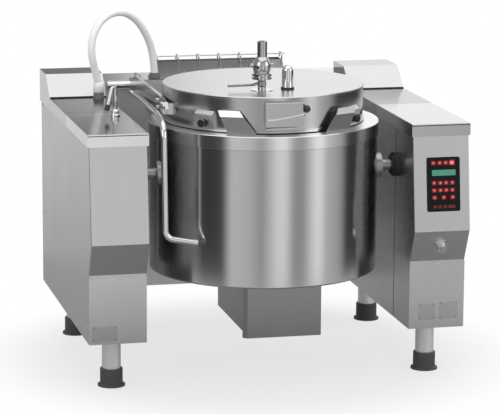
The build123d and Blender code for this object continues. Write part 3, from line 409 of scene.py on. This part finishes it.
print("finishes made:", len(finishes), "undressed:", sorted(undressed))


# hose

def bentTube(name, plan, finish):
    # a round tube or wire along a route
    curve = bpy.data.curves.new(name, "CURVE")
    curve.dimensions = "3D"
    line = curve.splines.new("NURBS")
    line.points.add(len(plan["route"]) - 1)
    for point, place in zip(line.points, plan["route"]):
        point.co = (*place, 1)
    line.order_u = 3
    line.use_endpoint_u = True
    curve.resolution_u = plan["stepsAlong"]
    curve.bevel_depth = plan["radius"]
    curve.bevel_resolution = plan["stepsRound"]
    curve.use_fill_caps = True
    curve.materials.append(finishes[finish])
    piece = bpy.data.objects.new(name, curve)
    bpy.context.scene.collection.objects.link(piece)
    return piece


hose = {
    "radius": 0.0135,
    "length": 0.68,
    "stepsAlong": 16,
    "stepsRound": 8,
    "route": [      # metres, from the left column's gland over to the deck's
        (-0.491, 0.320, 0.945),
        (-0.503, 0.3125, 1.000),
        (-0.520, 0.302, 1.057),
        (-0.518, 0.303, 1.120),
        (-0.490, 0.321, 1.173),
        (-0.442, 0.351, 1.203),
        (-0.388, 0.386, 1.204),
        (-0.341, 0.416, 1.178),
        (-0.304, 0.440, 1.134),
        (-0.276, 0.458, 1.081),
        (-0.261, 0.467, 1.023),
        (-0.257, 0.469, 0.966),
    ],
}


def makeHose():
    piece = bentTube("white_hose", hose, "hoseWhite")
    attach(piece, "root")
    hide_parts("hose")


makeHose()
print("hose laid")


# shapes for small pieces

def turnedPart(profile, steps=28):
    # pairs of radius and height, spun round the upright axis
    part = bmesh.new()
    points = [part.verts.new((radius, 0, height)) for radius, height in profile]
    line = [part.edges.new(pair) for pair in zip(points, points[1:])]
    bmesh.ops.spin(part, geom=points + line, cent=(0, 0, 0), axis=(0, 0, 1), angle=2 * math.pi, steps=steps,
                   use_merge=True)
    bmesh.ops.remove_doubles(part, verts=part.verts[:], dist=0.000001)
    bmesh.ops.recalc_face_normals(part, faces=part.faces[:])
    return part


def roundedPlate(width, height, thick, corner, edge):
    # width, height, thickness, corner radius and the softening of the upper edge
    part = bmesh.new()
    spread = Matrix.Diagonal((width, height, 1, 1))
    bmesh.ops.create_grid(part, x_segments=1, y_segments=1, size=0.5, matrix=spread)
    bmesh.ops.bevel(part, geom=part.verts[:], offset=corner, affect="VERTICES", segments=5, profile=0.5,
                    material=-1)
    raised = bmesh.ops.extrude_face_region(part, geom=part.faces[:], use_keep_orig=True)["geom"]
    lifted = [item for item in raised if isinstance(item, bmesh.types.BMVert)]
    bmesh.ops.translate(part, vec=(0, 0, thick), verts=lifted)
    upper = [line for line in part.edges if all(point.co.z > thick / 2 for point in line.verts)]
    bmesh.ops.bevel(part, geom=upper, offset=edge, affect="EDGES", segments=2, profile=0.5, material=-1)
    bmesh.ops.recalc_face_normals(part, faces=part.faces[:])
    return part


def facing(place, outward):
    # where a part lies flat at a place, with its back to the surface and its top upwards
    out = Vector(outward).normalized()
    across = Vector((0, 0, 1)).cross(out).normalized()
    return Matrix.Translation(place) @ Matrix((across, out.cross(across), out)).transposed().to_4x4()


def gather(name, parts, finish, body):
    # one piece from parts that were each made at the origin, with where they go
    group = bmesh.new()
    for part, place in parts:
        part.transform(place)
        passing = bpy.data.meshes.new("passing")
        part.to_mesh(passing)
        part.free()
        group.from_mesh(passing)
        bpy.data.meshes.remove(passing)
    mesh = bpy.data.meshes.new(name)
    group.to_mesh(mesh)
    group.free()
    for face in mesh.polygons:
        face.use_smooth = len(face.vertices) < 5  # broad caps stay flat
    mesh.materials.append(finishes[finish])
    piece = bpy.data.objects.new(name, mesh)
    bpy.context.scene.collection.objects.link(piece)
    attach(piece, body)


# hose cuff on the left gland, and the wire bail on the latch

hoseCuff = {
    "place": (-0.491, 0.320, 0),
    "profile": [(0.0188, 0.9225), (0.0196, 0.9235), (0.0196, 0.9465), (0.0180, 0.9530), (0.0152, 0.9590),
                (0.0137, 0.9605)],
    "steps": 40,
}


def makeHoseCuff():
    cuff = turnedPart(hoseCuff["profile"], hoseCuff["steps"])
    gather("hose_cuff", [(cuff, Matrix.Translation(hoseCuff["place"]))], "hoseWhite", "root")


latchBail = {
    "radius": 0.0024,
    "stepsAlong": 10,
    "stepsRound": 5,
    "route": [
        (-0.072, -0.5455, 0.946), (-0.062, -0.5480, 0.944), (-0.010, -0.5480, 0.950), (0.030, -0.5480, 0.958),
        (0.052, -0.5470, 0.962), (0.060, -0.5380, 0.960), (0.058, -0.5290, 0.956), (0.049, -0.5260, 0.955),
    ],
}


def makeLatchBail():
    piece = bentTube("latch_bail", latchBail, "brightSteel")
    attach(piece, "lid")


makeHoseCuff()
makeLatchBail()


# keypad: lit keys in four rows over a strip of dim ones

keypad = {
    "lean": 6.84,       # degrees the panel leans back
    "rows": {           # millimetres above the middle: the keys' places across
        74: (-36, -13, 8),
        5: (-34, -12, 9, 31),
        -20: (-34, -12, 9, 31),
        -45: (-33, 0, 32),
    },
    "call": (30, 74),   # the larger key
    "strip": (-77, (-31, -13, 5, 22, 34)),
    "proud": 0.0015,    # how far the film stands off the middle of the panel
    "lightLift": 0.001,
    "key": (0.0165, 0.0145, 0.0010, 0.0035, 0.0004),
    "callKey": (0.021, 0.019, 0.0010, 0.003, 0.0004),
    "callLight": (0.013, 0.011, 0.0005, 0.002, 0.0002),
    "stripKey": (0.013, 0.011, 0.0008, 0.002, 0.0003),
    "light": [(0, 0.0005), (0.0024, 0.0005), (0.0030, 0)],
}


def makeKeypad():
    low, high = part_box("control_panel")
    lean = math.radians(keypad["lean"])
    out = Vector((0, -math.cos(lean), math.sin(lean)))
    panel = facing((low + high) / 2 + out * keypad["proud"], out)
    lift = Matrix.Translation((0, 0, keypad["lightLift"]))

    def onPanel(across, up):
        return panel @ Matrix.Translation((across / 1000, up / 1000, 0))

    keys, lights, dim = [], [], []
    for up, row in keypad["rows"].items():
        for across in row:
            place = onPanel(across, up)
            keys.append((roundedPlate(*keypad["key"]), place))
            lights.append((turnedPart(keypad["light"]), place @ lift))
    place = onPanel(*keypad["call"])
    keys.append((roundedPlate(*keypad["callKey"]), place))
    lights.append((roundedPlate(*keypad["callLight"]), place @ lift))
    up, row = keypad["strip"]
    for across in row:
        dim.append((roundedPlate(*keypad["stripKey"]), onPanel(across, up)))
    gather("keypad_keys", keys, "keyFilm", "root")
    gather("keypad_lights", lights, "lampRed", "root")
    gather("keypad_strip", dim, "keyDim", "root")


makeKeypad()


# dial marks on the ring round the knob

dialMarks = {
    "count": 11,
    "sweep": 270,       # degrees
    "radius": 0.0215,
    "proud": 0.0015,
    "out": (0, -0.902, -0.431),     # away from the sloping front
    "mark": (0.0010, 0.0040, 0.0003, 0.0003, 0.0001),
}


def makeDialMarks():
    low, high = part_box("dial_ring")
    out = Vector(dialMarks["out"])
    ring = facing((low + high) / 2 + out * dialMarks["proud"], out)
    parts = []
    for i in range(dialMarks["count"]):
        angle = math.radians(dialMarks["sweep"] * (i / (dialMarks["count"] - 1) - 0.5))
        place = ring @ Matrix.Rotation(-angle, 4, "Z") @ Matrix.Translation((0, dialMarks["radius"], 0))
        parts.append((roundedPlate(*dialMarks["mark"]), place))
    gather("dial_marks", parts, "blackPlastic", "root")


makeDialMarks()


# screws, bare plates, sheet seams and painted shade strips under the cover folds

fixings = {
    "screw": [(0, 0.0010), (0.0017, 0.0010), (0.0019, 0.0030), (0.0036, 0.0026), (0.0046, 0.0014), (0.0048, 0)],
    "rivet": [(0, 0.0011), (0.0012, 0.0009), (0.0018, 0)],
    "sideHeights": (0.847, 0.444, 0.218),
    "sideDepth": 0.557,
    "serviceAcross": (-0.552, 0.562),
    "serviceHeight": 0.404,
    "barePlates": [     # place across, height of the middle, width, height
        (-0.607, 0.216, 0.086, 0.052), (0.527, 0.238, 0.060, 0.058), (0.604, 0.240, 0.066, 0.060),
    ],
    "plateThick": 0.0006,
    "plateCorner": 0.003,
    "plateEdge": 0.0002,
    "rivetInset": 0.005,
    "rivetSteps": 16,
}


def makeFixings():
    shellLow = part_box("left_column_shell")[0]
    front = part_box("service_panels")[0].y
    thick, inset = fixings["plateThick"], fixings["rivetInset"]
    screws, plates, rivets = [], [], []
    for x in fixings["serviceAcross"]:
        place = facing((x, front, fixings["serviceHeight"]), (0, -1, 0))
        screws.append((turnedPart(fixings["screw"]), place))
    for side in (-1, 1):
        for z in fixings["sideHeights"]:
            place = facing((side * abs(shellLow.x), fixings["sideDepth"], z), (side, 0, 0))
            screws.append((turnedPart(fixings["screw"]), place))
    for x, z, width, height in fixings["barePlates"]:
        place = facing((x, front, z), (0, -1, 0))
        plate = roundedPlate(width, height, thick, fixings["plateCorner"], fixings["plateEdge"])
        plates.append((plate, place))
        for across in (-1, 1):
            for up in (-1, 1):
                spot = Matrix.Translation((across * (width / 2 - inset), up * (height / 2 - inset), thick))
                rivets.append((turnedPart(fixings["rivet"], fixings["rivetSteps"]), place @ spot))
    gather("panel_screws", screws, "brightSteel", "root")
    gather("bare_plates", plates, "plateSteel", "root")
    gather("plate_rivets", rivets, "blackPlastic", "root")


seams = {
    "wallDepth": -0.249,
    "wallShort": 0.001,     # what the wall seam leaves free at each end
    "wall": (0.0016, 0.0008, 0.0003, 0.0003),       # width, then as on a rounded plate
    # the painted shade strip on each cover lip: how far under the fold it sits, how it is centred, and its size
    "lineDrop": 0.0055,
    "lineInset": 0.005,     # how much narrower a cover's middle counts than its outer edge
    "line": (0.206, 0.0028, 0.0004, 0.0003, 0.0002),
    "gasketRise": 0.0022,
    "gasket": (0.206, 0.0044, 0.0014, 0.0005, 0.0005),
    "jacketTurn": -78.7,    # degrees round the kettle from its front
    "jacketSunk": 0.0003,
    "jacketFoot": 0.008,
    "jacket": (0.005, 0.0008, 0.0006, 0.0003),
}


def makeSeams():
    shellLow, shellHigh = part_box("left_column_shell")
    coverLow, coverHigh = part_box("front_covers")
    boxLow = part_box("rear_boxes")[0]
    casingLow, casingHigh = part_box("outer_casing")
    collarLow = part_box("rim_collar")[0]
    top, bottom = coverLow.z - seams["wallShort"], shellLow.z + seams["wallShort"]
    width, *rest = seams["wall"]
    wall, lines, gaskets = [], [], []
    for side in (-1, 1):
        place = facing((side * abs(shellHigh.x), seams["wallDepth"], (top + bottom) / 2), (-side, 0, 0))
        wall.append((roundedPlate(width, top - bottom, *rest), place))
        middle = side * (abs(coverLow.x) + abs(shellHigh.x) - seams["lineInset"]) / 2
        # painted shade: a black strip standing on the lip front, below the cover's fold, where the fold lies in
        # shade
        place = facing((middle, coverLow.y, coverHigh.z - seams["lineDrop"]), (0, -1, 0))
        lines.append((roundedPlate(*seams["line"]), place))
        place = facing((middle, boxLow.y, coverHigh.z + seams["gasketRise"]), (0, -1, 0))
        gaskets.append((roundedPlate(*seams["gasket"]), place))
    gather("wall_seams", wall, "blackRubber", "root")
    gather("lip_painted_shade_strips", lines, "blackRubber", "root")
    gather("box_gaskets", gaskets, "blackRubber", "root")
    turn = math.radians(seams["jacketTurn"])
    out = Vector((math.sin(turn), -math.cos(turn), 0))
    radius = (casingHigh.x - casingLow.x) / 2 - seams["jacketSunk"]
    low, high = casingLow.z + seams["jacketFoot"], collarLow.z
    place = facing(Vector((0, kettleCentre.y, (low + high) / 2)) + out * radius, out)
    width, *rest = seams["jacket"]
    gather("jacket_seam", [(roundedPlate(width, high - low, *rest), place)], "kettleSteel", "kettle")


makeFixings()
makeSeams()
print("keypad, dial marks, screws, plates and seams made")


# floor, studio and lamps

studio = {
    "floorRadius": 2.1,
    "floorTone": (0.50, 0.50, 0.50),
    "floorMirrored": (0.27, 0.27, 0.27),
    "ambient": 0.66,
    "overhead": (0.38, 0.38, 0.385),
    # brightness by compass, 0 straight ahead of the kettle and positive to its right: soft boxes, black flags
    "low": [
        (-180, 0.80), (-150, 0.70), (-125, 0.12), (-104, 0.03), (-95, 0.16), (-82, 0.20), (-77, 0.05),
        (-54, 0.06), (-45, 0.78), (-26, 0.66), (-14, 0.42), (2, 1.05), (9, 1.05), (18, 0.42), (27, 0.40),
        (42, 1.16), (47, 1.12), (53, 0.68), (70, 0.48), (80, 0.05), (125, 0.05), (160, 0.70), (180, 0.80),
    ],
    "high": [
        (-180, 0.28), (-150, 0.35), (-70, 0.45), (-20, 0.62), (10, 0.80), (50, 0.80), (90, 0.55),
        (140, 1.1), (168.5, 1.3), (169.4, 0.26), (180, 0.28),
    ],
    "dimBehind": 0.3,       # how bright the room behind is below the horizon, against the low ring
    # spans of height, where the rings take over from one another
    "sink": (-0.27, -0.15, 1.0, 0.0),
    "lift": (0.01, 0.10, 0.0, 1.0),
    "rise": (0.32, 0.72, 0.0, 1.0),
    # spans of metres over the floor, and how much of it is plain white there
    "white": (0.62, 1.08, 0.74, 1.0),
    "fore": (-0.60, 0.10, 1.0, 0.0),
    "ahead": (1.0, 2.0, 0.0, 0.55),
    "behind": (-0.62, -0.40, 0.0, 0.20),
    "throughGlass": 0.3,
}
studio["ground"] = [
    (angle, tone * studio["dimBehind"] if abs(angle) >= 150 else tone) for angle, tone in studio["low"]
]


def makeStudio():
    world = bpy.data.worlds.new("studio")
    bpy.context.scene.world = world
    world.use_nodes = True
    tree = world.node_tree
    tree.nodes.clear()
    camera, glossy, clear = rayKinds(tree)
    axes = add(tree, "SeparateXYZ", {}, {0: add(tree, "TexCoord")}).socket.node
    x, y, z = (Link(tree, out) for out in axes.outputs)
    compass = x.maths("ARCTAN2", y * -1) / (2 * math.pi) + 0.5
    rings = {}
    for height in ("ground", "low", "high"):
        stops = [((angle + 180) / 360, (tone, tone, tone)) for angle, tone in studio[height]]
        rings[height] = add(tree, "ValToRGB", {"stops": stops}, {"Fac": compass})
    around = blendColours(tree, mapped(tree, z, studio["sink"]), rings["low"], rings["ground"])
    walls = blendColours(tree, mapped(tree, z, studio["lift"]), around, rings["high"])
    picture = blendColours(tree, mapped(tree, z, studio["rise"]), walls, studio["overhead"])
    seen = blendColours(tree, camera, picture, (1, 1, 1))
    shown = camera.maths("MAXIMUM", glossy).maths("MAXIMUM", clear)
    lit = blendColours(tree, shown, [studio["ambient"]] * 3, seen)
    background = add(tree, "Background", {}, {"Color": lit, "Strength": 1.0})
    output = tree.nodes.new("ShaderNodeOutputWorld")
    tree.links.new(background.socket, output.inputs["Surface"])


def makeFloor():
    mesh = bpy.data.meshes.new("floor")
    shape = bmesh.new()
    bmesh.ops.create_circle(shape, cap_ends=True, segments=96, radius=studio["floorRadius"])
    shape.to_mesh(mesh)
    shape.free()
    floor = bpy.data.objects.new("floor", mesh)
    bpy.context.scene.collection.objects.link(floor)
    material, tree = newFinish("floorPaper")
    camera, glossy, clear = rayKinds(tree)
    point = add(tree, "TexCoord", out=3)
    reach = add(tree, "VectorMath", {"operation": "LENGTH"}, {0: point}, out=1)
    depth = add(tree, "SeparateXYZ", {}, {0: point}, out=1)
    ahead = mapped(tree, depth, studio["fore"]) * mapped(tree, reach, studio["ahead"])
    shiny = ahead.maths("MAXIMUM", mapped(tree, depth, studio["behind"]))
    share = camera * mapped(tree, reach, studio["white"]) + glossy * shiny + clear * studio["throughGlass"]
    tone = blendColours(tree, glossy, studio["floorTone"], studio["floorMirrored"])
    paper = add(tree, "BsdfDiffuse", {}, {"Color": tone})
    bright = add(tree, "Emission", {}, {"Color": (1, 1, 1, 1), "Strength": 1.0})
    closeFinish(tree, add(tree, "MixShader", {}, {0: share, 1: paper, 2: bright}))
    mesh.materials.append(material)


lamps = {
    "overhead": {"place": (0.2, -0.4, 3.6), "aim": (0, 0, 0.6), "size": (4.4, 3.6), "power": 58},
    "left": {"place": (-3.4, -2.6, 2.6), "aim": (0, 0, 0.6), "size": (2.2, 2.6), "power": 30},
    "right": {"place": (3.4, -3.2, 2.4), "aim": (0.2, 0, 0.6), "size": (2.0, 2.6), "power": 30},
}


def makeLamps():
    for name, lamp in lamps.items():
        data = bpy.data.lights.new(name, "AREA")
        data.shape = "RECTANGLE"
        data.size, data.size_y = lamp["size"]
        data.energy = lamp["power"]
        piece = bpy.data.objects.new(name, data)
        place, aim = Vector(lamp["place"]), Vector(lamp["aim"])
        turn = (aim - place).to_track_quat("-Z", "Y").to_matrix().to_4x4()
        piece.matrix_world = Matrix.Translation(place) @ turn
        bpy.context.scene.collection.objects.link(piece)


makeStudio()
makeFloor()
makeLamps()
bpy.context.scene.view_settings.view_transform = "Standard"
print("studio lit")
